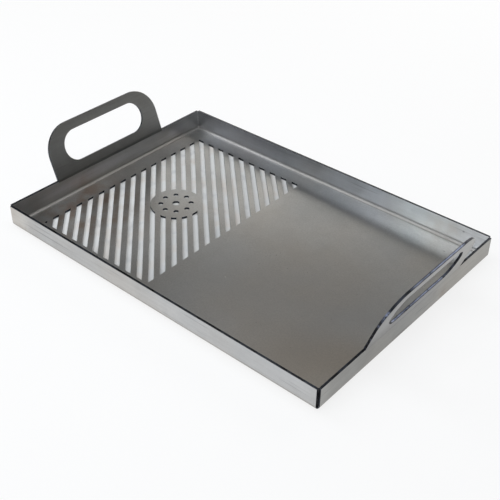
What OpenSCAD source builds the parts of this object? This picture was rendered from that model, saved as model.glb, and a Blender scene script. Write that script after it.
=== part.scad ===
// Camp griddle plate, folded from one laser-cut blank of bare rolled steel.
// Millimetres, +Z up. The origin is the middle of the underside, X runs along the tray,
// and the slotted end is at -X. The long wall at -Y is the front one.
//
// The blank is one piece. Each flat of it is a node of its own here, and the nodes meet face
// to face on the fold lines. The upright edges at the four corners are left open, unwelded.

/* [Tray] */
// Outside length of the tray, over its end walls
tray_l = 405; // [380:5:520]
// Outside width of the tray, over its long walls
tray_w = 285; // [260:5:380]
// Outside height of the walls, and of the line where the handles lean out
wall_h = 25; // [18:0.5:45]
// Thickness of the steel sheet
sheet_t = 2.5; // [1.5:0.25:4]
// Inside radius of the folds between the floor and the walls
fold_r = 3.5; // [1.5:0.25:6]
// Open slit between two walls where their folds meet at a corner
corner_slit = 0.15; // [0.05:0.05:1]

/* [Slotted field] */
// Length of the slotted field along the tray
field_l = 155; // [120:1:200]
// Plain border around the field, from the outside of the front, rear and left walls
field_border = 24.25; // [12:0.25:40]
// Width of a slot
slot_w = 5.6; // [3:0.1:9]
// Width of the bar between two slots
bar_w = 5.75; // [4:0.05:10]
// Angle of the slots to the tray's length
slot_angle = 45; // [30:1:60]
// How far the first slot's middle lies from the field's front left corner
slot_start = -0.4; // [-2:0.1:2]

/* [Disc] */
// Diameter of the solid disc in the middle of the slots
disc_d = 56; // [40:0.5:80]
// Diameter of the drain hole in the middle of the disc
drain_d = 8; // [4:0.5:12]
// Diameter of the drain holes in the ring
ring_hole_d = 5.5; // [3:0.25:7]
// Diameter of the ring of drain holes
ring_d = 33; // [24:0.5:34]
// Number of drain holes in the ring
ring_holes = 8; // [4:1:10]

/* [Handles] */
// Width of a handle
handle_w = 156; // [140:1:200]
// Height of a handle along its slope, from the fold line to its top edge
handle_h = 56; // [50:1:80]
// Radius of a handle's top corners
handle_corner_r = 31.5; // [15:0.5:40]
// How far the left handle leans out from upright, in degrees
left_lean = 20; // [8:1:40]
// How far the right handle leans out from upright, in degrees
right_lean = 18; // [8:1:40]
// Inside radius of the fold at the foot of a handle
handle_fold_r = 8; // [2:0.5:14]
// Length of the round-ended grip slot
grip_l = 113; // [90:1:120]
// Width of the grip slot, across its straight part
grip_w = 34.5; // [24:0.5:40]

/* [Hidden] */
$fn = 96;
cut = 1; // how far a cutting shape stands proud of what it cuts

steel = [0.56, 0.55, 0.53];
dark_steel = [0.44, 0.44, 0.43];

fold_out_r = fold_r + sheet_t;         // outside radius of a wall's fold
flat_l = tray_l - 2 * fold_out_r;      // the flat of the floor, between the folds
flat_w = tray_w - 2 * fold_out_r;
slit_shift = corner_slit / sqrt(2);    // how far each wall ends short of the corner's mitre

field_w = tray_w - 2 * field_border;
field_x = -tray_l / 2 + field_border;  // left edge of the field
slot_pitch = slot_w + bar_w;
// Size of the field along the slots and across them
field_run = field_l * cos(slot_angle) + field_w * sin(slot_angle);
field_rise = field_l * sin(slot_angle) + field_w * cos(slot_angle);
slot_count = floor((field_rise - slot_start + slot_w / 2) / slot_pitch) + 1;

grip_s = handle_h / 2;                 // the grip slot lies halfway up the handle

// How far a handle's fold reaches on each side of its fold line, along the sheet's middle
function fold_reach(lean) = (handle_fold_r + sheet_t / 2) * tan(lean / 2);
// Height at which a handle begins to lean
function fold_start(lean) = wall_h - fold_reach(lean);

// The slots as long strips, each centred on its line, from the field's front left corner
module slot_strips() {
    rotate(-slot_angle)
        for (i = [0 : slot_count - 1])
            translate([-field_w * sin(slot_angle) - cut, slot_start + i * slot_pitch - slot_w / 2])
                square([field_run + 2 * cut, slot_w]);
}

// What the laser takes out of the floor, in plan
module floor_cuts() {
    difference() {
        translate([field_x, -field_w / 2])
            intersection() {
                square([field_l, field_w]);
                slot_strips();
            }
        translate([field_x + field_l / 2, 0]) circle(d = disc_d);
    }
    translate([field_x + field_l / 2, 0]) {
        circle(d = drain_d);
        for (i = [0 : ring_holes - 1])
            rotate(i * 360 / ring_holes) translate([ring_d / 2, 0]) circle(d = ring_hole_d);
    }
}

module floor_plate() {
    color(steel)
        linear_extrude(sheet_t)
            difference() {
                square([flat_l, flat_w], center = true);
                floor_cuts();
            }
}

// Section through a wall and its fold: x is the distance in from the outside, y the height
module wall_section() {
    translate([0, fold_out_r]) square([sheet_t, wall_h - fold_out_r]);
    intersection() {
        square([fold_out_r, fold_out_r]);
        translate([fold_out_r, fold_out_r])
            difference() {
                circle(r = fold_out_r);
                circle(r = fold_r);
            }
    }
}

// A wall along +X with its outside on y = 0. Its ends stop a sheet's thickness short of the
// corner, which leaves the open notch, and its fold is mitred against the next one.
module wall(len) {
    near = sheet_t + slit_shift;
    deep = fold_out_r + slit_shift;
    intersection() {
        rotate([90, 0, 90]) linear_extrude(len) wall_section();
        linear_extrude(wall_h)
            polygon([[near, 0], [len - near, 0], [len - near, sheet_t],
                     [len - deep, fold_out_r], [deep, fold_out_r], [near, sheet_t]]);
    }
}

// An end wall gives way to its handle where the handle's fold begins
module end_wall(lean) {
    difference() {
        wall(tray_w);
        translate([(tray_w - handle_w) / 2, -cut, fold_start(lean)])
            cube([handle_w, sheet_t + 2 * cut, fold_reach(lean) + cut]);
    }
}

// Outline of a handle's flat: y is the distance up its slope from the end of its fold
module handle_outline(lean) {
    inner_w = handle_w - 2 * handle_corner_r;
    top = handle_h - fold_reach(lean);
    corner_y = top - handle_corner_r;
    difference() {
        intersection() {
            translate([-handle_w / 2, 0]) square([handle_w, top]);
            union() {
                translate([-handle_w / 2, -cut]) square([handle_w, corner_y + cut]);
                translate([-inner_w / 2, -cut]) square([inner_w, top + cut]);
                for (side = [-1, 1])
                    translate([side * inner_w / 2, corner_y]) circle(r = handle_corner_r);
            }
        }
        translate([0, grip_s - fold_reach(lean)]) grip_slot();
    }
}

module grip_slot() {
    straight = grip_l - grip_w;
    square([straight, grip_w], center = true);
    for (side = [-1, 1])
        translate([side * straight / 2, 0]) circle(d = grip_w);
}

// Section through a handle's fold, round its axis: a slice of a ring that ends on y = 0
module handle_fold_section(lean) {
    outer = handle_fold_r + sheet_t;
    intersection() {
        difference() {
            circle(r = outer);
            circle(r = handle_fold_r);
        }
        polygon([[0, 0], [2 * outer * cos(lean), -2 * outer * sin(lean)], [2 * outer, 0]]);
    }
}

// A handle in its end wall's own place: along +X, with the wall's outside on y = 0. It stands
// upright on its fold's axis first, and is then leaned out as a whole.
module handle(lean) {
    translate([tray_w / 2, -handle_fold_r, fold_start(lean)])
        rotate([lean, 0, 0]) {
            translate([-handle_w / 2, 0, 0])
                rotate([90, 0, 90]) linear_extrude(handle_w) handle_fold_section(lean);
            translate([0, handle_fold_r + sheet_t, 0])
                rotate([90, 0, 0]) linear_extrude(sheet_t) handle_outline(lean);
        }
}

// Carries what is drawn along +X to the left or the right end of the tray
module at_left_end() {
    translate([-tray_l / 2, tray_w / 2, 0]) rotate(-90) children();
}

module at_right_end() {
    translate([tray_l / 2, -tray_w / 2, 0]) rotate(90) children();
}

module front_wall() {
    color(steel) translate([-tray_l / 2, -tray_w / 2, 0]) wall(tray_l);
}

module rear_wall() {
    color(steel) translate([tray_l / 2, tray_w / 2, 0]) rotate(180) wall(tray_l);
}

module left_wall() { color(steel) at_left_end() end_wall(left_lean); }
module right_wall() { color(steel) at_right_end() end_wall(right_lean); }
module left_handle() { color(dark_steel) at_left_end() handle(left_lean); }
module right_handle() { color(dark_steel) at_right_end() handle(right_lean); }

floor_plate();
front_wall();
rear_wall();
left_wall();
right_wall();
left_handle();
right_handle();
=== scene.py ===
# %% [markdown]
# A camp griddle plate, folded from one sheet of bare rolled steel
#
# The real plate starts as a flat blank. A laser cuts its outline, the grip slots and the diagonal
# grilling slots, and a press brake folds up four walls and leans out two handles. Nothing is
# welded or screwed on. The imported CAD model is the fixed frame: it says where each wall, fold and
# handle lies, in metres. This script rebuilds every flat of the sheet as a finer mesh in the same
# place, gives it a steel finish, and sets up the light and the camera.

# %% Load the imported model
import math

import bmesh
import bpy
from mathutils import Euler, Matrix, Vector


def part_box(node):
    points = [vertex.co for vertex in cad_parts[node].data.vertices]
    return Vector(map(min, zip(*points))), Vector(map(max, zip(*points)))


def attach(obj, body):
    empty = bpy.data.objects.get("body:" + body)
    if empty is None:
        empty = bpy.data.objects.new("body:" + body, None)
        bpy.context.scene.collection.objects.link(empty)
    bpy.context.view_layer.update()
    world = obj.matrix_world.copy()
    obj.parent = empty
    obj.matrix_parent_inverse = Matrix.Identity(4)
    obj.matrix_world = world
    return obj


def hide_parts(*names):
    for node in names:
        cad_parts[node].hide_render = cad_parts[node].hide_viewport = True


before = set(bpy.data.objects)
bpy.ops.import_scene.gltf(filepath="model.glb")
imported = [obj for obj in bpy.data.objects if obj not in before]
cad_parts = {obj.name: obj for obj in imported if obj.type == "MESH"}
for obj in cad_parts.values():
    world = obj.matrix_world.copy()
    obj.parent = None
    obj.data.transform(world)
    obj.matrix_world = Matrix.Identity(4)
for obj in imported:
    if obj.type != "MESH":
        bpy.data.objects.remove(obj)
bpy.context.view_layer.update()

print("nodes:", ", ".join(sorted(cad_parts)))

# %% [markdown]
# The sizes of the plate
#
# Outside sizes are read from the CAD boxes, so the new pieces can't drift away from the frame.
# The floor's flat ends where the folds begin, so the gap between the two boxes is the outside
# radius of a fold. What a box can't say, such as a slot's width, is written here in metres.
# One value is the picture's own: the slits at the corners are drawn almost closed, because the
# white ground would shine through a wider one as a bright line.

# %% Sizes from the frame, and the cut and fold sizes
MM = 0.001
floor_low, floor_high = (Vector(corner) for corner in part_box("floor_plate"))
front_low, front_high = (Vector(corner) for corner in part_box("front_wall"))
left_low, _ = (Vector(corner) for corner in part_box("left_wall"))
left_grip_low, left_grip_high = (Vector(corner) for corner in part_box("left_handle"))
right_grip_low, _ = (Vector(corner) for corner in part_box("right_handle"))

TRAY_W = -2 * front_low.y
TRAY_L = -2 * left_low.x
WALL_H = front_high.z
SHEET = floor_high.z
FOLD_OUT = floor_low.x - left_low.x
FOLD_IN = FOLD_OUT - SHEET
SLIT_SHIFT = 0.02 * MM
NOTCH_END = SHEET + SLIT_SHIFT
HANDLE_W = left_grip_high.y - left_grip_low.y
LEFT_FOLD_Z = left_grip_low.z
RIGHT_FOLD_Z = right_grip_low.z

FIELD_L = 155 * MM
FIELD_BORDER = 24.25 * MM
SLOT_W = 5.6 * MM
BAR_W = 5.75 * MM
SLOT_ANGLE = math.radians(45)
SLOT_START = -0.4 * MM
DISC_D = 56 * MM
DRAIN_D = 8 * MM
RING_HOLE_D = 5.5 * MM
RING_D = 33 * MM
RING_HOLES = 8

HANDLE_H = 56 * MM
HANDLE_CORNER_R = 31.5 * MM
LEFT_LEAN = math.radians(20)
RIGHT_LEAN = math.radians(18)
HANDLE_FOLD_R = 8 * MM
GRIP_L = 113 * MM
GRIP_W = 34.5 * MM

print(f"tray {TRAY_L:.4f} x {TRAY_W:.4f} x {WALL_H:.4f} m, sheet {SHEET * 1000:.2f} mm")
print(f"folds {FOLD_IN * 1000:.2f} mm inside, handles {HANDLE_W:.3f} m wide")

# %% [markdown]
# Finish first, shape after
#
# Each piece wears two finishes: the rolled faces of the sheet, and the dark edges that the laser
# leaves. The faces of a mesh hold a slot number that says which one they wear, so the materials
# are made before the pieces. First come small helpers that add shader nodes and join them up.
# They keep the material cells short enough to read.

# %% Shader node helpers
def add_node(tree, kind, settings=None, **inputs):
    """A new node. settings are its own properties, and inputs are values for its sockets."""
    made = tree.nodes.new(kind)
    for name, value in (settings or {}).items():
        setattr(made, name, value)
    for name, value in inputs.items():
        made.inputs[name.replace("_", " ")].default_value = value
    return made


def join(tree, output, socket):
    """Links one node's output to another one's socket."""
    tree.links.new(output, socket)


def feed(tree, value, socket):
    """Joins another node's output to a socket, or sets a number, a vector or a colour there."""
    if isinstance(value, bpy.types.NodeSocket):
        join(tree, value, socket)
    elif socket.type == "RGBA":
        socket.default_value = (*value, 1.0)
    else:
        socket.default_value = value


def place_on_piece(tree):
    """Where a point lies on its piece. A pattern read there stays put when the piece moves."""
    return add_node(tree, "ShaderNodeTexCoord").outputs["Object"]


def split(tree, vector):
    """The X, Y and Z of a vector."""
    made = add_node(tree, "ShaderNodeSeparateXYZ")
    join(tree, vector, made.inputs[0])
    return made.outputs


# %% [markdown]
# Patterns, blends and sums
#
# Nothing here is painted. A pattern starts as noise, is stretched until only what is wanted of it
# is left, and then says how far one colour gives way to another. These five helpers do all of
# that, one node each, so that a material reads like a recipe.

# %% Helpers for patterns, blends and maths
def noise(tree, vector, scale, detail, roughness=0.55, distortion=0.0):
    """A noise pattern read at a vector. Returns its value, about 0.5 on average."""
    made = add_node(tree, "ShaderNodeTexNoise", Detail=detail, Roughness=roughness,
                    Distortion=distortion)
    feed(tree, scale, made.inputs["Scale"])
    join(tree, vector, made.inputs["Vector"])
    return made.outputs["Fac"]


def spread(tree, value, low, high, to_low=0.0, to_high=1.0):
    """Stretches the values from low to high over to_low to to_high, and clamps the rest."""
    made = add_node(tree, "ShaderNodeMapRange", {"clamp": True},
                    From_Min=low, From_Max=high, To_Min=to_low, To_Max=to_high)
    join(tree, value, made.inputs["Value"])
    return made.outputs["Result"]


def blend_colours(tree, share, first, second, how="MIX"):
    """first where share is 0, second where it is 1. With MULTIPLY, second tints first instead."""
    made = add_node(tree, "ShaderNodeMix", {"data_type": "RGBA", "blend_type": how})
    for value, name in ((share, "Factor"), (first, "A"), (second, "B")):
        feed(tree, value, made.inputs[name])
    return made.outputs["Result"]


def calculate(tree, operation, first, second=0.0):
    """Maths with one number or two."""
    made = add_node(tree, "ShaderNodeMath", {"operation": operation})
    feed(tree, first, made.inputs[0])
    feed(tree, second, made.inputs[1])
    return made.outputs["Value"]


def calculate_vector(tree, operation, first, second=(0.0, 0.0, 0.0)):
    """Vector maths. Three of its operations give a number, and the rest a vector."""
    made = add_node(tree, "ShaderNodeVectorMath", {"operation": operation})
    feed(tree, first, made.inputs[0])
    feed(tree, second, made.inputs[1])
    gives_number = operation in ("DISTANCE", "LENGTH", "DOT_PRODUCT")
    return made.outputs["Value" if gives_number else "Vector"]


# %% [markdown]
# Mottle and drawn lines, as shared groups
#
# Rolled steel is never one grey. It has cloudy patches a centimetre or two across, a fine grain,
# and on the bent walls faint lines that the press tools draw out along the fold. These could be
# painted as images, but noise keeps them sharp at any zoom, and it runs over the folds without a
# seam. Each effect is a node group with named inputs, because many materials place it, each with
# values of its own.

# %% Groups for mottle and drawn lines
FLOAT, VECTOR = "NodeSocketFloat", "NodeSocketVector"


def new_group(name, inputs, outputs):
    """An empty node group with its sockets, each given as (name, socket type, default value).
    Returns the group, and the sockets that its own nodes read from and write to."""
    tree = bpy.data.node_groups.new(name, "ShaderNodeTree")
    for in_out, sockets in (("INPUT", inputs), ("OUTPUT", outputs)):
        for socket_name, kind, value in sockets:
            made = tree.interface.new_socket(socket_name, in_out=in_out, socket_type=kind)
            if value is not None:
                made.default_value = value
    inside = [tree.nodes.new(kind) for kind in ("NodeGroupInput", "NodeGroupOutput")]
    return tree, inside[0].outputs, inside[1].inputs


mottle, mottle_in, mottle_out = new_group(
    "mottle",
    [("Vector", VECTOR, None), ("Patch Scale", FLOAT, 45.0), ("Grain Scale", FLOAT, 900.0)],
    [("Patches", FLOAT, None), ("Grain", FLOAT, None)])
patches = noise(mottle, mottle_in["Vector"], mottle_in["Patch Scale"], 5.0, 0.6, distortion=0.4)
grain = noise(mottle, mottle_in["Vector"], mottle_in["Grain Scale"], 2.0, 0.5)
join(mottle, patches, mottle_out["Patches"])
join(mottle, grain, mottle_out["Grain"])

drawn_lines, lines_in, lines_out = new_group(
    "drawn lines",
    [("Vector", VECTOR, None), ("Along", VECTOR, None), ("Scale", FLOAT, 12.0)],
    [("Lines", FLOAT, None), ("Marks", FLOAT, None)])
# Scaled up across the fold but not along it, the noise is drawn out into lines
drawn_out = calculate_vector(drawn_lines, "MULTIPLY", lines_in["Vector"], lines_in["Along"])
lines = noise(drawn_lines, drawn_out, lines_in["Scale"], 4.0, 0.6)
marks = spread(drawn_lines, noise(drawn_lines, drawn_out, 17.0, 2.0), 0.63, 0.73)
join(drawn_lines, lines, lines_out["Lines"])
join(drawn_lines, marks, lines_out["Marks"])
print("groups:", mottle.name, "and", drawn_lines.name)

# %% [markdown]
# Film and soft spots, as shared groups
#
# Here and there a thin brownish film has dried on the steel. Other places are paler or darker than
# the rest: a few are specks of the steel's own, but most are painted light and painted shade. Both
# are one shape: full in the middle of a place and faded out at its rim. The film is round, and
# noise breaks it up into blotches. A soft spot has its own size along each axis, so it can be a
# round patch, a long streak or a speck.

# %% Groups for film and soft spots
film, film_in, film_out = new_group(
    "film", [("Vector", VECTOR, None), ("Middle", VECTOR, None), ("Reach", FLOAT, 0.05)],
    [("Film", FLOAT, None)])
away = calculate_vector(film, "DISTANCE", film_in["Vector"], film_in["Middle"])
away = calculate(film, "DIVIDE", away, film_in["Reach"])
nearness = spread(film, away, 0.4, 1.0, 1.0, 0.0)
blotches = spread(film, noise(film, film_in["Vector"], 60.0, 4.0), 0.36, 0.62)
join(film, calculate(film, "MULTIPLY", nearness, blotches), film_out["Film"])

soft_spot, spot_in, spot_out = new_group(
    "soft spot", [("Vector", VECTOR, None), ("Middle", VECTOR, None), ("Size", VECTOR, None)],
    [("Spot", FLOAT, None)])
off_middle = calculate_vector(soft_spot, "SUBTRACT", spot_in["Vector"], spot_in["Middle"])
in_sizes = calculate_vector(soft_spot, "DIVIDE", off_middle, spot_in["Size"])
fading = add_node(soft_spot, "ShaderNodeMapRange", {"interpolation_type": "SMOOTHSTEP"},
                  From_Min=0.3, From_Max=1.0, To_Min=1.0, To_Max=0.0)
join(soft_spot, calculate_vector(soft_spot, "LENGTH", in_sizes), fading.inputs["Value"])
join(soft_spot, fading.outputs["Result"], spot_out["Spot"])
print("groups:", film.name, "and", soft_spot.name)

# %% [markdown]
# Every material starts the same
#
# All the finishes here are one plain Principled shader with other nodes in front of it. It could
# be set up again for each of them, but three small helpers keep that apart from what makes a
# finish special: one makes the material, one places a shared group, and one adds a bump.

# %% Helpers for a material
def new_material(name, metallic=1.0, roughness=0.4):
    """A material with one plain Principled shader. Returns it, its tree and the shader."""
    made = bpy.data.materials.new(name)
    made.use_nodes = True
    shader = made.node_tree.nodes["Principled BSDF"]
    shader.inputs["Metallic"].default_value = metallic
    shader.inputs["Roughness"].default_value = roughness
    return made, made.node_tree, shader


def put_group(tree, group, vector, **inputs):
    """Places a group in a material, with its own values for the group's inputs."""
    made = add_node(tree, "ShaderNodeGroup", {"node_tree": group}, **inputs)
    join(tree, vector, made.inputs["Vector"])
    return made.outputs


def set_bump(tree, shader, height, strength, distance):
    """Lets a height tilt the shading, without moving the surface."""
    bump = add_node(tree, "ShaderNodeBump", Strength=strength, Distance=distance)
    join(tree, height, bump.inputs["Height"])
    join(tree, bump.outputs["Normal"], shader.inputs["Normal"])


# %% [markdown]
# The rolled faces
#
# Bare steel is a metal, so its colour is the colour of its reflections. The base colour is a mid
# grey, and roughness near 0.3 blurs what it mirrors into soft patches, so that the floor still
# shows the wall behind it. Mottle and drawn lines move both a little, and a very shallow bump
# makes reflections swim as they do on a real sheet. In a fold the skin is stretched, and the tool
# has rubbed it, so it is rougher there. Its colour is darker and browner there too: partly the
# rubbed skin, and partly painted shade that dims the fold's line of light. The fold is found by
# its height on the piece, so the finish fades out where the wall becomes straight.

# %% The material of the rolled faces
STEEL_LIGHT = (0.575, 0.57, 0.555)
STEEL_DARK = (0.455, 0.45, 0.438)
STEEL_BLUE = (0.49, 0.51, 0.53)
STEEL_BROWN = (0.50, 0.46, 0.41)
FILM_BROWN = (0.34, 0.22, 0.15)
MARK_GREY = (0.26, 0.26, 0.265)
CLOUD_SHARE = 0.45  # how much of the tone the patches make up

# the fold's colour, darker and browner than the steel: partly the rubbed skin, partly painted shade
FOLD_BROWN_AND_SHADE = (0.285, 0.264, 0.238)
FOLD_DULL_AND_SHADE = 0.76  # how far a fold takes on its own colour
FOLD_ROUGHER = 0.25
FOLD_ENDS = (FOLD_OUT * 0.6, FOLD_OUT * 1.05)  # the heights between which it fades out


def steel_grey(tree, place, tone):
    """The grey of the steel: lighter and darker with the tone, and bluer or browner in places."""
    grey = blend_colours(tree, spread(tree, tone, 0.35, 0.65), STEEL_DARK, STEEL_LIGHT)
    hue = noise(tree, place, 9.0, 2.0)
    grey = blend_colours(tree, spread(tree, hue, 0.5, 0.75, 0.0, 0.5), grey, STEEL_BLUE)
    return blend_colours(tree, spread(tree, hue, 0.5, 0.25, 0.0, 0.5), grey, STEEL_BROWN)


def rolled_face(name, light_and_shade_tint, along, line_share, mark_share, film_at, film_reach, film_share,
                spots, has_fold=True):
    """Bare rolled steel. The tint brightens all of it as painted light, or darkens it as painted
    shade. along draws the lines out, and the shares say how much each effect counts: the lines, the
    press marks, and the brown film round one place. spots lists places of another tone, mostly
    painted light and painted shade with a few specks of the steel's own, each as its middle, its
    size and its colour."""
    made, tree, shader = new_material("rolled_steel_" + name)
    place = place_on_piece(tree)
    cloudy = put_group(tree, mottle, place, Patch_Scale=40.0, Grain_Scale=700.0)
    drawn = put_group(tree, drawn_lines, place, Along=along, Scale=12.0)
    lines = calculate(tree, "MULTIPLY", drawn["Lines"], line_share)
    grain = calculate(tree, "MULTIPLY", cloudy["Grain"], 1.0 - CLOUD_SHARE - line_share)
    tone = calculate(tree, "MULTIPLY", cloudy["Patches"], CLOUD_SHARE)
    tone = calculate(tree, "ADD", calculate(tree, "ADD", tone, lines), grain)

    grey = steel_grey(tree, place, tone)
    marked = calculate(tree, "MULTIPLY", drawn["Marks"], mark_share)
    grey = blend_colours(tree, marked, grey, MARK_GREY)
    filmed = put_group(tree, film, place, Middle=film_at, Reach=film_reach)["Film"]
    grey = blend_colours(tree, calculate(tree, "MULTIPLY", filmed, film_share), grey, FILM_BROWN)
    # the tint over the whole flat is painted light or painted shade, set for each flat
    grey = blend_colours(tree, 1.0, grey, light_and_shade_tint, "MULTIPLY")
    # most spots are painted light and painted shade; the specks, the dark line and the rust are the
    # steel's own
    for middle, size, colour in spots:
        spot = put_group(tree, soft_spot, place, Middle=middle, Size=size)["Spot"]
        grey = blend_colours(tree, spot, grey, colour, "MULTIPLY")

    rough = spread(tree, tone, 0.3, 0.7, 0.33, 0.27)
    if has_fold:
        # in the fold the steel is rougher, and darker and browner, which is partly painted shade
        on_fold = spread(tree, split(tree, place)["Z"], *FOLD_ENDS, FOLD_DULL_AND_SHADE, 0.0)
        grey = blend_colours(tree, on_fold, grey, FOLD_BROWN_AND_SHADE)
        rougher = calculate(tree, "MULTIPLY", on_fold, FOLD_ROUGHER)
        rough = calculate(tree, "ADD", rough, rougher)
    join(tree, grey, shader.inputs["Base Color"])
    join(tree, rough, shader.inputs["Roughness"])
    height = calculate(tree, "ADD", calculate(tree, "MULTIPLY", cloudy["Grain"], 0.3), lines)
    set_bump(tree, shader, height, 0.10, 0.2 * MM)
    return made


# %% [markdown]
# One finish for each flat
#
# A single steel for the whole sheet comes close, but no two flats of the real plate look alike.
# Each was rolled, bent and handled in its own way, which its lines and marks show, but most of the
# difference comes from how the light meets it from its own side. So each flat gets a material of
# its own from the same function, and these are lit and shaded copies of one steel. The tint sets
# how bright it is as a whole, as painted light or painted shade. The spots are places that the
# picture shows as paler, darker or warmer, set in metres on the plate. Most are painted light and
# painted shade; the specks, the rust, the long dark line and the brown film are the steel's own.
# A size of 1 metre along an axis means that the spot runs right across there. The floor has hardly
# any lines. The walls and handles have them along their fold, with marks from the press.

# %% The faces, one by one
ALONG_X, ALONG_Y = (1.0, 30.0, 30.0), (30.0, 1.0, 30.0)
RUST = (0.50, 0.24, 0.18)
floor_face = rolled_face(
    "floor", (1.0, 1.0, 1.0), ALONG_X, 0.03, 0.0, (-0.163, -0.072, 0.0), 0.075, 0.60, [
        # darker and browner at the front right corner; painted light along the left border and in
        # the rear left corner
        ((0.200, -0.125, 0.0), (0.130, 0.100, 1.0), (0.86, 0.80, 0.73)),
        ((-0.192, -0.055, 0.0), (0.020, 0.075, 1.0), (1.35, 1.33, 1.30)),
        # painted shade behind the middle and on the rear bars, painted light on the front bars
        ((0.010, 0.100, 0.0), (0.070, 0.060, 1.0), (0.86, 0.87, 0.88)),
        ((-0.125, 0.080, 0.0), (0.090, 0.065, 1.0), (0.72, 0.72, 0.72)),
        ((-0.110, -0.085, 0.0), (0.085, 0.060, 1.0), (1.30, 1.30, 1.30)),
        ((-0.190, 0.130, 0.0), (0.030, 0.030, 1.0), (1.42, 1.40, 1.36)),
        # the plain half is a little warmer, with one pale speck and one dark one
        ((0.110, -0.060, 0.0), (0.140, 0.120, 1.0), (1.02, 0.99, 0.96)),
        ((0.027, -0.061, 0.0), (0.0012, 0.0012, 1.0), (1.45, 1.45, 1.40)),
        ((0.165, 0.118, 0.0), (0.0016, 0.0012, 1.0), (0.60, 0.60, 0.60)),
    ], has_fold=False)
front_face = rolled_face(
    "front", (0.95, 0.96, 0.98), ALONG_X, 0.35, 0.5, (-0.190, -0.1425, 0.010), 0.040, 0.15, [
        # a tint of slight painted shade; painted light at the left end, then a stretch of painted
        # shade with a long dark line
        ((-0.195, -0.1425, 0.012), (0.030, 1.0, 1.0), (1.13, 1.11, 1.07)),
        ((-0.115, -0.1425, 0.012), (0.070, 1.0, 1.0), (0.95, 0.955, 0.96)),
        ((-0.140, -0.1425, 0.0135), (0.050, 1.0, 0.0007), (0.55, 0.55, 0.56)),
    ])
rear_face = rolled_face(
    "rear", (1.07, 1.09, 1.15), ALONG_X, 0.35, 0.5, (0.150, 0.140, 0.010), 0.030, 0.20, [
        # a bluer tint of painted light; painted light, painted shade and painted light again from
        # left to right, and a dark fleck near the right end
        ((-0.130, 0.140, 0.010), (0.080, 1.0, 1.0), (1.12, 1.13, 1.18)),
        ((0.070, 0.140, 0.012), (0.070, 1.0, 1.0), (0.90, 0.90, 0.90)),
        ((0.130, 0.140, 0.012), (0.060, 1.0, 1.0), (1.04, 1.08, 1.07)),
        ((0.172, 0.140, 0.0185), (0.0020, 1.0, 0.0016), (0.60, 0.60, 0.62)),
    ])
left_face = rolled_face(
    "left", (1.12, 1.12, 1.14), ALONG_Y, 0.35, 0.5, (-0.200, -0.045, 0.004), 0.022, 0.20, [
        # a tint of painted light; a long stretch of painted light above the fold, painted shade at
        # the ends, and a short stretch of painted light at the rear
        ((-0.200, -0.035, 0.014), (1.0, 0.085, 0.0085), (1.30, 1.30, 1.36)),
        ((-0.200, 0.085, 0.012), (1.0, 0.045, 1.0), (0.88, 0.88, 0.88)),
        ((-0.200, 0.100, 0.014), (1.0, 0.020, 0.0090), (1.15, 1.15, 1.20)),
        ((-0.200, -0.130, 0.012), (1.0, 0.045, 1.0), (0.80, 0.80, 0.80)),
    ])
left_handle_face = rolled_face(
    "left_handle", (0.67, 0.67, 0.66), ALONG_Y, 0.35, 0.5, (-0.200, -0.045, 0.004), 0.022, 0.20, [
        # a tint of painted shade, and more painted shade towards its foot, where the fold meets the
        # wall
        ((-0.205, -0.020, 0.028), (1.0, 0.140, 0.030), (0.83, 0.83, 0.83)),
    ])
right_face = rolled_face(
    "right", (0.49, 0.49, 0.48), ALONG_Y, 0.45, 0.8, (0.2025, 0.045, 0.004), 0.022, 0.30, [
        # a strong tint of painted shade; painted light, a little warmer, to the rear, painted shade
        # before the middle, painted light at the front end
        ((0.2025, 0.095, 0.012), (1.0, 0.080, 1.0), (1.15, 1.13, 1.10)),
        ((0.2025, -0.050, 0.012), (1.0, 0.070, 1.0), (0.91, 0.91, 0.91)),
        ((0.2025, -0.142, 0.012), (1.0, 0.020, 1.0), (1.25, 1.25, 1.25)),
        # two specks of rust at its foot
        ((0.2025, 0.056, 0.0025), (1.0, 0.0050, 0.0030), RUST),
        ((0.2025, 0.018, 0.0025), (1.0, 0.0040, 0.0030), RUST),
    ])
right_handle_face = rolled_face(
    "right_handle", (0.40, 0.40, 0.40), ALONG_Y, 0.40, 0.6, (0.2025, 0.045, 0.004), 0.022, 0.0, [
        # a strong tint of painted shade; more painted shade at its front end, painted light at its
        # rear end
        ((0.215, -0.055, 0.050), (1.0, 0.090, 1.0), (0.84, 0.84, 0.85)),
        ((0.215, 0.070, 0.050), (1.0, 0.050, 1.0), (1.16, 1.15, 1.12)),
    ])
print("faces:", ", ".join(face.name for face in (
    floor_face, front_face, rear_face, left_face, left_handle_face, right_face,
    right_handle_face)))

# %% [markdown]
# The laser-cut edges
#
# The laser leaves a thin dark oxide on what it cuts, with fine upright ripples. It still shines,
# so the edge is near black from most sides and catches a line of light from others. A dark metal
# with a low roughness does both. The right handle's edges face the camera. There a painted
# highlight, a blue line of reflected light, runs down the middle of the cut on the straight
# stretches, and a few painted glints lie near the handle's front foot. A dot product with the
# direction across the sheet gives the depth in the cut, so one mask draws the blue band on every
# edge of the handle.

# %% The material of the cut edges
HIGHLIGHT_BAND_ENDS = (0.55 * MM, 0.95 * MM)  # to each side of the middle of the cut
PAINTED_GLINTS_FROM = 65 * MM  # from the middle of the handle towards the front
PAINTED_GLINTS_FADE = 5 * MM
PAINTED_GLINT_SHARE = 0.45


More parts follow.
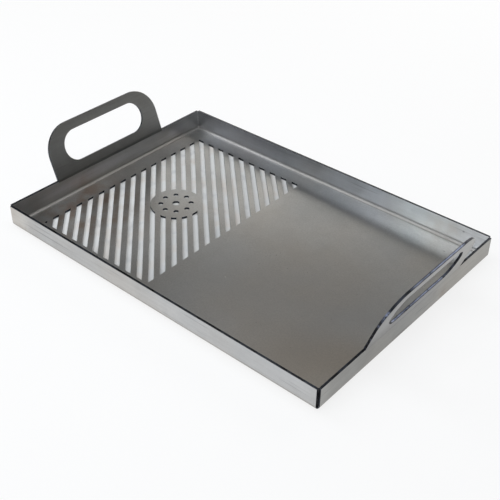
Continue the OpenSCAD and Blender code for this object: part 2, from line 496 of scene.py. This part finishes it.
def painted_highlight_band(tree, place, patches, across, middle, run):
    """Where the painted highlight lies: across the cut by its depth, along it by the distance in Y.
    Painted glints are added near the front foot.
    """
    depth = calculate_vector(tree, "DOT_PRODUCT", place, across)
    off_middle = calculate(tree, "ABSOLUTE", calculate(tree, "SUBTRACT", depth, middle))
    band = spread(tree, off_middle, *HIGHLIGHT_BAND_ENDS, 1.0, 0.0)
    y = split(tree, place)["Y"]
    on_straight = spread(tree, calculate(tree, "ABSOLUTE", y), run, 1.15 * run, 1.0, 0.0)
    band = calculate(tree, "MULTIPLY", band, on_straight)
    band = calculate(tree, "MULTIPLY", band, spread(tree, patches, 0.30, 0.50, 0.35, 1.0))
    near_foot = spread(tree, y, -PAINTED_GLINTS_FROM, -PAINTED_GLINTS_FROM - PAINTED_GLINTS_FADE)
    painted_glints = spread(tree, noise(tree, place, 260.0, 2.0), 0.48, 0.60, 0.0, PAINTED_GLINT_SHARE)
    return calculate(tree, "MAXIMUM", band, calculate(tree, "MULTIPLY", near_foot, painted_glints))


def cut_edge(name, dark, light, highlight_stripe=None):
    """A laser-cut edge, dark with lighter patches. With a stripe, the light colour becomes a
    painted highlight kept to one band of it, given as the direction across the sheet, where its
    middle lies on that, and how far the band runs in Y."""
    made, tree, shader = new_material(name)
    place = place_on_piece(tree)
    cloudy = put_group(tree, mottle, place, Patch_Scale=110.0, Grain_Scale=1500.0)
    lightness = spread(tree, cloudy["Patches"], 0.38, 0.58)
    if highlight_stripe:
        lightness = painted_highlight_band(tree, place, cloudy["Patches"], *highlight_stripe)
    join(tree, blend_colours(tree, lightness, dark, light), shader.inputs["Base Color"])
    join(tree, spread(tree, cloudy["Patches"], 0.3, 0.7, 0.26, 0.40), shader.inputs["Roughness"])
    set_bump(tree, shader, cloudy["Grain"], 0.3, 0.1 * MM)
    return made


black_edge = cut_edge("laser_cut_black", (0.028, 0.029, 0.032), (0.060, 0.066, 0.080))
through_handle = Vector((math.cos(RIGHT_LEAN), 0.0, -math.sin(RIGHT_LEAN)))
handle_middle = Vector((TRAY_L / 2 - SHEET / 2, 0.0, WALL_H))
# the light colour is a painted highlight: a blue line of reflected light along the cut, with
# painted glints
blue_highlight_edge = cut_edge("laser_cut_blue_highlight", (0.035, 0.037, 0.044), (0.24, 0.27, 0.37),
                     (through_handle, through_handle.dot(handle_middle), (GRIP_L - GRIP_W) / 2))
print("edges:", black_edge.name, blue_highlight_edge.name)

# %% [markdown]
# How a flat of the sheet becomes a piece
#
# Every piece is a stretch of the same sheet, so its faces are of three kinds: the two rolled
# skins, the edges that the laser cut, and the seams where the next piece goes on. A seam isn't
# really there, so it stays sharp and flush. Where a skin meets a cut edge the corner is a touch
# round on the real thing, and a bevel of 0.15 millimetres gives it a line of light. The kinds
# could be picked by hand, but two small tests on a face's normal and middle find them again
# whenever a size changes.

# %% Helpers that mark, round and hand over a piece
SKIN, CUT, SEAM = 0, 1, 2
EDGE_ROUND = 0.15 * MM
EDGE_STEPS = 2
CLOSE = 0.01 * MM
FACING = 0.5  # a face looks a certain way if more than this much of its normal points there
SHARP_FROM = math.radians(50)


def mark_faces(bm, is_cut, is_seam):
    """Gives each face its kind, from what two small tests say of its normal and middle."""
    bm.normal_update()
    for face in bm.faces:
        normal, middle = face.normal, face.calc_center_median()
        if is_seam(normal, middle):
            face.material_index = SEAM
        elif is_cut(normal, middle):
            face.material_index = CUT
        else:
            face.material_index = SKIN


def round_cut_edges(bm):
    """A small bevel where a skin meets a cut edge. Seams stay as they are."""
    corners = [
        edge for edge in bm.edges
        if len(edge.link_faces) == 2
        and {face.material_index for face in edge.link_faces} == {SKIN, CUT}
    ]
    bmesh.ops.bevel(bm, geom=corners, offset=EDGE_ROUND, offset_type="OFFSET", affect="EDGES",
                    segments=EDGE_STEPS, profile=0.5, material=-1, clamp_overlap=True)


def piece_from(bm, name, node, face_material, place=Matrix.Identity(4), edge_material=black_edge):
    """Turns a bmesh into the finished piece that stands for a CAD node."""
    bmesh.ops.transform(bm, matrix=place, verts=bm.verts[:])
    bmesh.ops.recalc_face_normals(bm, faces=bm.faces[:])
    open_edges = sum(1 for edge in bm.edges if len(edge.link_faces) != 2)
    # Only two finishes are left: the next piece hides a seam, which wears the cut edge's
    for face in bm.faces:
        face.smooth = True
        if face.material_index == SEAM:
            face.material_index = CUT
    mesh = bpy.data.meshes.new(name)
    bm.to_mesh(mesh)
    bm.free()
    mesh.set_sharp_from_angle(angle=SHARP_FROM)
    for material in (face_material, edge_material):
        mesh.materials.append(material)
    piece = bpy.data.objects.new(name, mesh)
    bpy.context.scene.collection.objects.link(piece)
    weighted = piece.modifiers.new("flat_faces_lead", "WEIGHTED_NORMAL")
    weighted.keep_sharp = True
    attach(piece, "root")
    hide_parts(node)
    print(f"{name}: {len(mesh.polygons)} faces, {open_edges} open edges")


# %% [markdown]
# Bend, draw on, cut off
#
# A folded sheet is like a section that has travelled: straight along each flat, and round an axis
# through each fold. A wall could be extruded from an L-shaped outline instead, but then its fold
# is only a curve that was drawn. Here Spin turns the section about the fold's own axis, as the
# press brake does, and an extrude carries it straight on. A plane then cuts off what is too long,
# and the cut is closed. The walls and the handles are all made with these few helpers.

# %% Helpers that bend, draw on and cut the sheet
def rectangle(bm, middle, size, turn=(0.0, 0.0, 0.0)):
    """A flat rectangle in X and Y. turn holds the Euler angles that stand it up."""
    made = bmesh.ops.create_grid(
        bm, x_segments=1, y_segments=1, size=0.5,
        matrix=Matrix.LocRotScale(Vector(middle), Euler(turn), Vector((*size, 1.0))))
    return made["verts"][0].link_faces[0]


def bend(bm, face, centre, axis, angle, steps):
    """Bends the sheet on from a section face. Returns the face at the far end."""
    made = bmesh.ops.spin(bm, geom=[face, *face.edges, *face.verts], cent=centre, axis=axis,
                          angle=angle, steps=steps, use_merge=False, use_duplicate=False)
    return next(part for part in made["geom_last"] if isinstance(part, bmesh.types.BMFace))


def draw_on(bm, faces, step):
    """Extrudes faces by one straight step."""
    edges = {edge for face in faces for edge in face.edges}
    made = bmesh.ops.extrude_face_region(bm, geom=[*faces, *edges])["geom"]
    bmesh.ops.translate(bm, vec=step,
                        verts=[part for part in made if isinstance(part, bmesh.types.BMVert)])


def cut_off(bm, point, outward):
    """Cuts away what lies beyond a plane, and closes the cut."""
    made = bmesh.ops.bisect_plane(bm, geom=[*bm.verts, *bm.edges, *bm.faces], dist=CLOSE / 100,
                                  plane_co=point, plane_no=outward, clear_outer=True)
    rim = [part for part in made["geom_cut"] if isinstance(part, bmesh.types.BMEdge)]
    bmesh.ops.holes_fill(bm, edges=rim, sides=0)


# %% [markdown]
# The front and rear walls
#
# The two long walls run from corner to corner, and an open notch is left where they meet the end
# walls. Each starts as the section of the sheet where the floor's flat ends. It is bent up by a
# right angle and drawn on to the rim. Every wall is made along +X with its outside on y = 0, and
# turned into its place at the very end, so that one recipe serves all four sides. Planes cut its
# two ends: square across the wall, and mitred through the fold.

# %% The front and rear walls
FOLD_STEPS = 20


def trim_ends(bm, length):
    """Cuts both ends of a wall: square through its flat, mitred through its fold."""
    for end, side in ((0.0, -1), (length, 1)):
        square_end = Vector((end - side * NOTCH_END, 0.0, 0.0))
        cut_off(bm, square_end, Vector((side, 0.0, 0.0)))
        mitre = Vector((end - side * NOTCH_END, SHEET, 0.0))
        cut_off(bm, mitre, Vector((side, 1.0, 0.0)).normalized())


def bent_wall(length, height):
    """A wall along +X with its outside on y = 0, up to a height. Its ends are still uncut."""
    bm = bmesh.new()
    start = rectangle(bm, (length / 2, FOLD_OUT, SHEET / 2), (length, SHEET),
                      (math.radians(90), 0.0, 0.0))
    fold_top = bend(bm, start, (0.0, FOLD_OUT, FOLD_OUT), (1.0, 0.0, 0.0),
                    math.radians(-90), FOLD_STEPS)
    draw_on(bm, [fold_top], Vector((0.0, 0.0, height - FOLD_OUT)))
    return bm


def at_floor(normal, middle):
    return middle.y > FOLD_OUT - CLOSE


def on_end_or_rim(normal, middle):
    return abs(normal.x) > FACING or middle.z > WALL_H - CLOSE


def long_wall(name, node, place, face_material):
    """A front or rear wall, carried to its place."""
    bm = bent_wall(TRAY_L, WALL_H)
    trim_ends(bm, TRAY_L)
    mark_faces(bm, on_end_or_rim, at_floor)
    round_cut_edges(bm)
    piece_from(bm, name, node, face_material, place)


at_front = Matrix.Translation((-TRAY_L / 2, -TRAY_W / 2, 0.0))
at_rear = Matrix.Translation((TRAY_L / 2, TRAY_W / 2, 0.0)) @ Matrix.Rotation(math.pi, 4, "Z")
long_wall("front_wall_steel", "front_wall", at_front, front_face)
long_wall("rear_wall_steel", "rear_wall", at_rear, rear_face)

# %% [markdown]
# The end walls
#
# An end wall is the same bend, but its middle gives way to the handle where the handle's own fold
# begins. A Boolean could cut that step out of a full wall. Here the wall is drawn up to the
# step's height first. Two planes then split its top into three, and only the outer two go on up
# to the rim, so the faces stay clean.

# %% The end walls
def split_across(bm, x):
    """Scores the wall through at x, so that its top can end at two heights."""
    bmesh.ops.bisect_plane(bm, geom=[*bm.verts, *bm.edges, *bm.faces], dist=CLOSE / 100,
                           plane_co=(x, 0.0, 0.0), plane_no=(1.0, 0.0, 0.0))


def end_wall(name, node, place, face_material, handle_from):
    """A left or right wall, whose middle stops at the height where the handle goes on."""
    bm = bent_wall(TRAY_W, handle_from)
    for side in (-1, 1):
        split_across(bm, (TRAY_W + side * HANDLE_W) / 2)
    bm.normal_update()
    for side in (-1, 1):
        tops = [face for face in bm.faces if face.normal.z > FACING
                and face.calc_center_median().z > handle_from - CLOSE
                and side * (face.calc_center_median().x - TRAY_W / 2) > HANDLE_W / 2]
        draw_on(bm, tops, Vector((0.0, 0.0, WALL_H - handle_from)))
    trim_ends(bm, TRAY_W)

    def at_floor_or_handle(normal, middle):
        in_step = abs(middle.x - TRAY_W / 2) < HANDLE_W / 2 - CLOSE
        at_handle = in_step and middle.z > handle_from - CLOSE and normal.z > FACING
        return at_floor(normal, middle) or at_handle

    mark_faces(bm, on_end_or_rim, at_floor_or_handle)
    round_cut_edges(bm)
    piece_from(bm, name, node, face_material, place)


at_left = Matrix.Translation((-TRAY_L / 2, TRAY_W / 2, 0.0)) @ Matrix.Rotation(-math.pi / 2, 4, "Z")
at_right = Matrix.Translation((TRAY_L / 2, -TRAY_W / 2, 0.0)) @ Matrix.Rotation(math.pi / 2, 4, "Z")
end_wall("left_wall_steel", "left_wall", at_left, left_face, LEFT_FOLD_Z)
end_wall("right_wall_steel", "right_wall", at_right, right_face, RIGHT_FOLD_Z)

# %% [markdown]
# A handle, cut flat
#
# A handle is a tongue of the blank with two round corners and a round-ended slot for the fingers.
# A Boolean could punch that slot, but two outlines are simpler and keep its ends truly round. One
# rectangle has its two top corners rounded by a bevel of their vertices, and a second one, for the
# slot, has all four. Triangle fill closes the sheet between the two.

# %% The flat of a handle
CORNER_STEPS = 24
GRIP_STEPS = 24


def round_corners(bm, corners, radius, steps):
    """Rounds some corners of a flat outline."""
    bmesh.ops.bevel(bm, geom=corners, offset=radius, offset_type="OFFSET", affect="VERTICES",
                    segments=steps, profile=0.5, material=-1)


def handle_flat(bm, foot_at):
    """The flat of the handle in its own plane: x across it, y up its slope from the fold line."""
    outline = rectangle(bm, (0.0, (foot_at + HANDLE_H) / 2, 0.0), (HANDLE_W, HANDLE_H - foot_at))
    round_corners(bm, [corner for corner in outline.verts if corner.co.y > HANDLE_H - CLOSE],
                  HANDLE_CORNER_R, CORNER_STEPS)
    grip = rectangle(bm, (0.0, HANDLE_H / 2, 0.0), (GRIP_L, GRIP_W))
    # The two arcs of a grip end stop a hair short of each other, and are merged below
    round_corners(bm, list(grip.verts), GRIP_W / 2 - CLOSE, GRIP_STEPS)
    bmesh.ops.delete(bm, geom=bm.faces[:], context="FACES_ONLY")
    bmesh.ops.remove_doubles(bm, verts=bm.verts[:], dist=4 * CLOSE)
    bmesh.ops.triangle_fill(bm, edges=bm.edges[:], use_beauty=True, use_dissolve=False)


# %% [markdown]
# The handles, leaned out
#
# On the real plate a handle runs out of its end wall without a seam, through a fold of its own.
# The flat gets its thickness from an extrude, and leans out about the fold line. Then its foot is
# bent: the strip of section that looks down at the wall is spun back about the fold's axis, until
# it stands upright on the wall. Bending only the foot leaves the many edges of the grip slot as
# they are.

# %% The two handles
HANDLE_FOLD_STEPS = 10


def leaning_handle(lean, fold_z):
    """A handle along +X on its wall, whose outside is y = 0, with its foot bent upright."""
    bm = bmesh.new()
    fold_reach = WALL_H - fold_z
    handle_flat(bm, fold_reach)
    draw_on(bm, bm.faces[:], Vector((0.0, 0.0, SHEET)))
    bmesh.ops.recalc_face_normals(bm, faces=bm.faces[:])
    # The middle of the sheet leans out about the fold line, which lies at the height of the rim
    to_wall = (Matrix.Translation((TRAY_W / 2, SHEET / 2, WALL_H))
               @ Matrix.Rotation(math.radians(90) + lean, 4, "X")
               @ Matrix.Translation((0.0, 0.0, -SHEET / 2)))
    bmesh.ops.transform(bm, matrix=to_wall, verts=bm.verts[:])
    bm.normal_update()
    down_slope = to_wall.to_3x3() @ Vector((0.0, -1.0, 0.0))
    # The grip slot has faces that look down the slope too, but they lie higher than the foot
    foot = next(face for face in bm.faces if face.normal.dot(down_slope) > FACING
                and face.calc_center_median().z < WALL_H + 2 * fold_reach)
    bend(bm, foot, (0.0, -HANDLE_FOLD_R, fold_z), (1.0, 0.0, 0.0), -lean, HANDLE_FOLD_STEPS)
    return bm


def handle(name, node, place, materials, lean, fold_z):
    """A handle with its own two finishes, carried to its place."""
    bm = leaning_handle(lean, fold_z)
    out_of_sheet = Vector((0.0, math.cos(lean / 2), math.sin(lean / 2)))

    def on_wall(normal, middle):
        return middle.z < fold_z + CLOSE and normal.z < -FACING

    def is_cut(normal, middle):
        return abs(normal.dot(out_of_sheet)) < FACING

    mark_faces(bm, is_cut, on_wall)
    round_cut_edges(bm)
    face_material, edge_material = materials
    piece_from(bm, name, node, face_material, place, edge_material)


handle("left_handle_steel", "left_handle", at_left, (left_handle_face, black_edge),
       LEFT_LEAN, LEFT_FOLD_Z)
handle("right_handle_steel", "right_handle", at_right, (right_handle_face, blue_highlight_edge),
       RIGHT_LEAN, RIGHT_FOLD_Z)

# %% [markdown]
# Tools that cut
#
# The laser takes the slots and holes out of the floor while it is still flat. Modelling bar by bar
# would need an outline of its own for each of them, since the field and the disc end every bar
# elsewhere. So the floor is a slab, and Booleans take tools out of it. A tool is a plain object
# that is thicker than the sheet, and it is gone once it has cut.

# %% Helpers for tools and Booleans
ROUND_STEPS = 64
CUTTER_H = 4 * SHEET


def slab(bm, low, high):
    """A box between two corners."""
    size = Vector(high) - Vector(low)
    middle = (Vector(high) + Vector(low)) / 2
    bmesh.ops.create_cube(bm, size=1.0, matrix=Matrix.LocRotScale(middle, None, size))


def drill(bm, x, y, diameter):
    """A round cutter that goes right through the floor."""
    bmesh.ops.create_cone(bm, cap_ends=True, segments=ROUND_STEPS, radius1=diameter / 2,
                          radius2=diameter / 2, depth=CUTTER_H,
                          matrix=Matrix.Translation((x, y, SHEET / 2)))


def object_from(bm, name):
    """A plain object, such as a tool that cuts or the blank that it cuts."""
    mesh = bpy.data.meshes.new(name)
    bm.to_mesh(mesh)
    bm.free()
    made = bpy.data.objects.new(name, mesh)
    bpy.context.scene.collection.objects.link(made)
    return made


def cut_with(body, tool):
    """Takes a tool's shape out of a body's mesh, and removes the tool."""
    boolean = body.modifiers.new("cut", "BOOLEAN")
    boolean.operation, boolean.solver, boolean.object = "DIFFERENCE", "EXACT", tool
    graph = bpy.context.evaluated_depsgraph_get()
    body.data = bpy.data.meshes.new_from_object(body.evaluated_get(graph))
    body.modifiers.clear()
    bpy.data.objects.remove(tool)
    return body


# %% [markdown]
# Slots, disc and drain holes
#
# The slots run on the diagonal, but they end on a straight border, and a solid disc stands among
# them. The cutter is one long strip per slot, turned onto the diagonal and clipped to the field by
# four planes. The number of strips follows from the sizes, so the field can grow. The disc and the
# drain holes are cylinders.

# %% The tools of the slotted field
field_low = Vector((-TRAY_L / 2 + FIELD_BORDER, -TRAY_W / 2 + FIELD_BORDER, 0.0))
field_high = Vector((field_low.x + FIELD_L, -field_low.y, 0.0))
disc_at = (field_low.x + FIELD_L / 2, 0.0)
slot_pitch = SLOT_W + BAR_W
field_rise = (FIELD_L * math.sin(SLOT_ANGLE)
              + (field_high.y - field_low.y) * math.cos(SLOT_ANGLE))
slot_count = math.floor((field_rise - SLOT_START + SLOT_W / 2) / slot_pitch) + 1
print(f"{slot_count} slots on a pitch of {slot_pitch * 1000:.2f} mm")


def slot_cutter():
    """One long strip per slot, along its own line, clipped to the field."""
    bm = bmesh.new()
    reach = FIELD_L + field_high.y - field_low.y
    for number in range(slot_count):
        middle = SLOT_START + number * slot_pitch
        slab(bm, (-reach, middle - SLOT_W / 2, (SHEET - CUTTER_H) / 2),
             (reach, middle + SLOT_W / 2, (SHEET + CUTTER_H) / 2))
    bmesh.ops.transform(bm, verts=bm.verts[:], matrix=Matrix.Translation(field_low)
                        @ Matrix.Rotation(-SLOT_ANGLE, 4, "Z"))
    for point, outward in ((field_low, (-1, 0, 0)), (field_low, (0, -1, 0)),
                           (field_high, (1, 0, 0)), (field_high, (0, 1, 0))):
        cut_off(bm, point, Vector(outward))
    return object_from(bm, "slot_cutter")


def disc_tool():
    """The disc, twice as high as the cutter that it is taken out of."""
    bm = bmesh.new()
    drill(bm, *disc_at, DISC_D)
    bmesh.ops.scale(bm, vec=(1.0, 1.0, 2.0), verts=bm.verts[:])
    return object_from(bm, "disc_tool")


def drain_tool():
    """The drain hole in the middle of the disc, and the ring round it."""
    bm = bmesh.new()
    drill(bm, *disc_at, DRAIN_D)
    for number in range(RING_HOLES):
        angle = number * 2 * math.pi / RING_HOLES
        drill(bm, disc_at[0] + RING_D / 2 * math.cos(angle),
              disc_at[1] + RING_D / 2 * math.sin(angle), RING_HOLE_D)
    return object_from(bm, "drain_tool")


# %% [markdown]
# The slotted floor
#
# The order of the cuts does the work. The disc is taken out of the cutter first, so it is left
# standing when the cutter is taken out of the slab. The drain holes come last. A Boolean leaves
# doubled points and flats that are scored into pieces, so both are cleaned up before the edges are
# rounded.

# %% The slotted floor
FLAT_WITHIN = math.radians(1)


def slotted_floor(name):
    """The floor between the folds, with its slots and drain holes."""
    bm = bmesh.new()
    slab(bm, floor_low, floor_high)
    blank = object_from(bm, "floor_blank")
    cut_with(blank, cut_with(slot_cutter(), disc_tool()))
    cut_with(blank, drain_tool())

    bm = bmesh.new()
    bm.from_mesh(blank.data)
    bpy.data.objects.remove(blank)
    bmesh.ops.remove_doubles(bm, verts=bm.verts[:], dist=CLOSE / 10)
    bmesh.ops.dissolve_limit(bm, angle_limit=FLAT_WITHIN, verts=bm.verts[:], edges=bm.edges[:])

    def is_upright(normal, middle):
        return abs(normal.z) < FACING

    def at_wall(normal, middle):
        at_border = (abs(middle.x) > floor_high.x - CLOSE or abs(middle.y) > floor_high.y - CLOSE)
        return at_border and is_upright(normal, middle)

    mark_faces(bm, is_upright, at_wall)
    round_cut_edges(bm)
    piece_from(bm, name, "floor_plate", floor_face)


slotted_floor("floor_steel")

# %% [markdown]
# The shade under the plate
#
# The ground under the plate is seen only through the slots and drain holes. Little light gets
# there, and in the picture it is greyish, a bit blotchy and paler to the left. Traced light alone
# comes out too even and too bright, because the ground is a near white. So the ground's colour
# there is a painted shadow, found by its place and paler to the left, with two noises that pull it
# to warm and to grey.

# %% The shade under the plate
# painted shadow on the ground under the plate, paler to the left; the warm and grey blotches vary
# the ground's own colour
SHADOW_UNDER_PLATE = (0.70, 0.69, 0.675)
SHADOW_UNDER_PLATE_LEFT = (0.90, 0.89, 0.865)
UNDER_PLATE_WARM = (0.71, 0.62, 0.54)
UNDER_PLATE_GREY = (0.52, 0.52, 0.53)
PALE_TO_THE_LEFT = (-0.17, -0.03)  # along X, where the paler left gives way
MOST_WARM, MOST_GREY = 0.5, 0.6
SHADE_ENDS = (10 * MM, 4 * MM)  # in from the outsides of the walls


def under_plate(tree):
    """1 under the plate, 0 outside it, with a soft edge just inside its walls."""
    sides = split(tree, place_on_piece(tree))
    inside = [spread(tree, calculate(tree, "ABSOLUTE", sides[axis]),
                     half - SHADE_ENDS[0], half - SHADE_ENDS[1], 1.0, 0.0)
              for axis, half in (("X", TRAY_L / 2), ("Y", TRAY_W / 2))]
    return calculate(tree, "MULTIPLY", *inside)


def blotchy_painted_shadow(tree):
    """The painted shadow under the plate: paler to the left, with faint grey and warm blotches."""
    place = place_on_piece(tree)
    to_right = spread(tree, split(tree, place)["X"], *PALE_TO_THE_LEFT)
    shade = blend_colours(tree, to_right, SHADOW_UNDER_PLATE_LEFT, SHADOW_UNDER_PLATE)
    warmth = spread(tree, noise(tree, place, 28.0, 3.0), 0.48, 0.66, 0.0, MOST_WARM)
    shade = blend_colours(tree, warmth, shade, UNDER_PLATE_WARM)
    greyness = spread(tree, noise(tree, place, 45.0, 2.0), 0.45, 0.25, 0.0, MOST_GREY)
    return blend_colours(tree, greyness, shade, UNDER_PLATE_GREY)


# %% [markdown]
# The ground
#
# The plate lies on a plain pale ground. A diffuse white alone would look grey in the far corners
# of the picture, so part of its colour is a plain glow that only the camera and reflections see.
# Near the plate the rest stays diffuse, which keeps the plate's own soft shadow. Further out the
# glow takes over until it is all, so the ground's rim doesn't show. Under the plate nothing glows.

# %% The ground
GROUND_COLOUR = (0.95, 0.95, 0.95)
GROUND_RADIUS = 40.0
GROUND_SIDES = 96
GROUND_DROP = 0.02 * MM  # keeps it clear of the plate's underside
GROUND_GLOW = 0.82
GLOW_GROWS = (0.35, 2.0)  # away from the plate's middle


def seen_directly(tree):
    """1 for rays from the camera, a reflection or a glass, and 0 for the light that bounces."""
    path = add_node(tree, "ShaderNodeLightPath")
    mirrored = calculate(tree, "MAXIMUM", path.outputs["Is Glossy Ray"],
                         path.outputs["Is Transmission Ray"])
    return calculate(tree, "MAXIMUM", path.outputs["Is Camera Ray"], mirrored)


def ground_material():
    """A diffuse white that gives way to a glow, and to a shade under the plate."""
    made, tree, shader = new_material("pale_ground", metallic=0.0, roughness=1.0)
    shader.inputs["Specular IOR Level"].default_value = 0.0
    covered = under_plate(tree)
    # under the plate the ground takes the painted shadow
    colour = blend_colours(tree, covered, GROUND_COLOUR, blotchy_painted_shadow(tree))
    join(tree, colour, shader.inputs["Base Color"])
    far = calculate_vector(tree, "LENGTH", place_on_piece(tree))
    glow_share = spread(tree, far, *GLOW_GROWS, GROUND_GLOW, 1.0)
    glow_share = calculate(tree, "MULTIPLY", glow_share, calculate(tree, "SUBTRACT", 1.0, covered))
    glow = add_node(tree, "ShaderNodeEmission", Color=(1.0, 1.0, 1.0, 1.0), Strength=1.0)
    both = add_node(tree, "ShaderNodeMixShader")
    join(tree, calculate(tree, "MULTIPLY", seen_directly(tree), glow_share), both.inputs[0])
    join(tree, shader.outputs[0], both.inputs[1])
    join(tree, glow.outputs[0], both.inputs[2])
    join(tree, both.outputs[0], tree.nodes["Material Output"].inputs["Surface"])
    return made


bm = bmesh.new()
bmesh.ops.create_circle(bm, cap_ends=True, segments=GROUND_SIDES, radius=GROUND_RADIUS,
                        matrix=Matrix.Translation((0.0, 0.0, -GROUND_DROP)))
ground = object_from(bm, "ground")
ground.data.materials.append(ground_material())
print(f"{ground.name}: {len(ground.data.polygons)} face, {GROUND_RADIUS:.0f} m to its rim")

# %% [markdown]
# The studio
#
# Metal shows what stands round it, so even an empty room is part of the finish. An evenly pale
# world would be simpler, but every face of the steel would mirror it and look flat. The studio is
# dark instead. The inside of the left handle mirrors that, and with the painted shade of its tint
# it is the darkest face in the picture. Only a narrow band on the horizon is as pale as the
# ground. It seems to carry the ground on, so a camera that looks down by 15 degrees or more
# doesn't see it end.

# %% The studio
STUDIO_GREY = (0.03, 0.03, 0.03)
HORIZON_WHITE = (1.0, 1.0, 1.0)
HORIZON_ENDS = (0.021, 0.026)  # where the pale band fades out, as the Z of a direction


def studio_with_horizon():
    """A dark studio all round, with a pale band where the ground ends."""
    world = bpy.data.worlds.new("studio")
    world.use_nodes = True
    tree = world.node_tree
    direction = add_node(tree, "ShaderNodeTexCoord").outputs["Generated"]
    dark = spread(tree, split(tree, direction)["Z"], *HORIZON_ENDS)
    shade = blend_colours(tree, dark, HORIZON_WHITE, STUDIO_GREY)
    join(tree, shade, tree.nodes["Background"].inputs["Color"])
    bpy.context.scene.world = world
    return world.name


print("world:", studio_with_horizon())

# %% [markdown]
# The lamps
#
# The lamps are planned from the reflections too: each one stands where a face of the plate mirrors
# it. Two soft lamps at the front light the rear wall and its fold, and a broad one hangs overhead.
# The flat floor mirrors a row of three pale cards at the rear, brighter to the right, and a faint
# one above them. Cards at the left and the right open up the folds and the end walls. All of them
# are area lamps, which metal mirrors as soft rectangles. The camera doesn't see them.

# %% The lamps
LAMP_DISTANCE = 1.3


def from_plate(azimuth, elevation):
    """The direction from the plate: azimuth is turned from +X towards +Y, both in degrees."""
    turn, rise = math.radians(azimuth), math.radians(elevation)
    return Vector((math.cos(turn) * math.cos(rise), math.sin(turn) * math.cos(rise),
                   math.sin(rise)))


def soft_lamp(name, azimuth, elevation, width, height, radiance, colour):
    """A soft lamp that faces the plate. Its radiance is how bright a mirror would show it."""
    towards = from_plate(azimuth, elevation)
    lamp = bpy.data.lights.new(name, "AREA")
    lamp.shape, lamp.size, lamp.size_y = "RECTANGLE", width, height
    lamp.energy = radiance * math.pi * width * height
    lamp.color = colour
    made = bpy.data.objects.new(name, lamp)
    made.location = towards * LAMP_DISTANCE
    made.rotation_euler = towards.to_track_quat("Z", "Y").to_euler()
    made.visible_camera = False
    bpy.context.scene.collection.objects.link(made)
    return made.name


COOL, WARM = (0.95, 1.0, 1.05), (1.02, 1.0, 0.96)
lamps = [soft_lamp(*row) for row in (
    # name, azimuth, elevation, width, height, radiance, colour
    ("front_lamp", 266, 34, 0.90, 0.45, 2.95, COOL),
    ("front_left_lamp", 243, 48, 0.40, 0.70, 1.30, COOL),
    ("overhead_lamp", 270, 89, 1.10, 1.10, 1.95, COOL),
    ("rear_left_card", 128, 22, 0.60, 0.40, 1.55, WARM),
    ("rear_card", 100, 20, 0.60, 0.40, 1.85, WARM),
    ("rear_right_card", 76, 30, 0.60, 0.40, 3.40, WARM),
    ("rear_high_card", 110, 60, 1.20, 0.40, 0.32, WARM),
    ("left_card", 190, 42, 0.60, 0.90, 3.00, COOL),
    ("right_card", 0, 42, 0.60, 0.90, 0.75, COOL),
)]
print(f"{len(lamps)} lamps:", ", ".join(lamps))

# %% [markdown]
# The camera
#
# The picture was taken from above the front right corner. Guessing a camera would never lay the
# model's edges on the picture's, so it was fitted: its place, its turn and its lens were changed
# together with the plate's sizes until the corners and rims fell on those in the picture. That is
# why its numbers look odd. The Standard view shows the pale ground as pale as it is, where a
# film-like view would grey it.

# %% The camera
CAMERA_AT = Vector((0.49435, -0.57321, 0.54704))
CAMERA_AZIMUTH = math.radians(40.4232)
CAMERA_ELEVATION = math.radians(36.4324)
CAMERA_ROLL = math.radians(0.7098)
LENS_MM = 65.025
SENSOR_MM = 36.0
CLIP_AT = (0.01, 50.0)

lens = bpy.data.cameras.new("camera")
lens.sensor_width, lens.lens = SENSOR_MM, LENS_MM
lens.clip_start, lens.clip_end = CLIP_AT
camera = bpy.data.objects.new("camera", lens)
looking = (Euler((math.radians(90) - CAMERA_ELEVATION, 0.0, CAMERA_AZIMUTH)).to_matrix()
           @ Matrix.Rotation(CAMERA_ROLL, 3, "Z"))
camera.matrix_world = Matrix.Translation(CAMERA_AT) @ looking.to_4x4()
bpy.context.scene.collection.objects.link(camera)
bpy.context.scene.camera = camera
bpy.context.scene.view_settings.view_transform = "Standard"
print(f"camera {CAMERA_AT.length:.3f} m from the plate's middle, lens {LENS_MM:.1f} mm")
